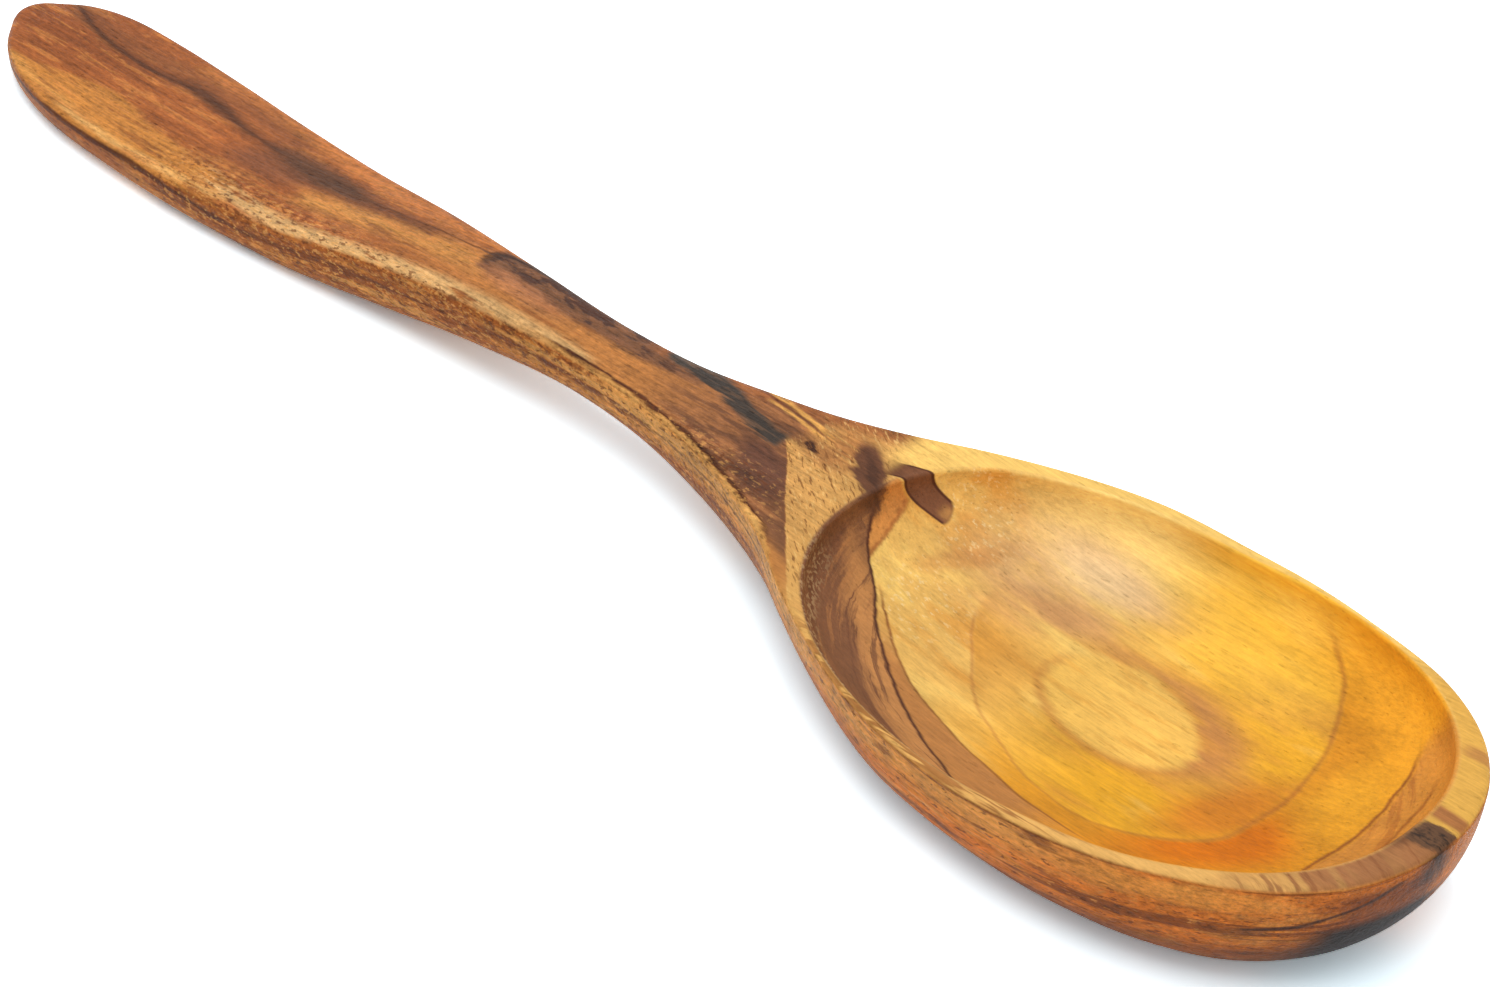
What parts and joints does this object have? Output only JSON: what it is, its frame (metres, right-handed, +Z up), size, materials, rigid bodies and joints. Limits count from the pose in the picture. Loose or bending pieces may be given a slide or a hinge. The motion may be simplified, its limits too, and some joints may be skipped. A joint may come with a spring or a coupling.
{
  "type": "wooden cooking spoon",
  "caption": "Cooking spoon carved from a single piece of wood: flat tapering handle, slim neck, oval hollowed bowl that rests on a small flat.",
  "frame": {"origin": "on the table under the middle of the spoon's length", "axes": "+X along the spoon from the handle's end to the bowl's tip, +Z up from the table, the hollow opening upwards"},
  "size_m": [0.3, 0.0645, 0.0222],
  "materials": {
    "carved_wood": "satin, lightly oiled"
  },
  "bodies": {
    "root": {"spoon": "carved_wood"}
  },
  "joints": []
}
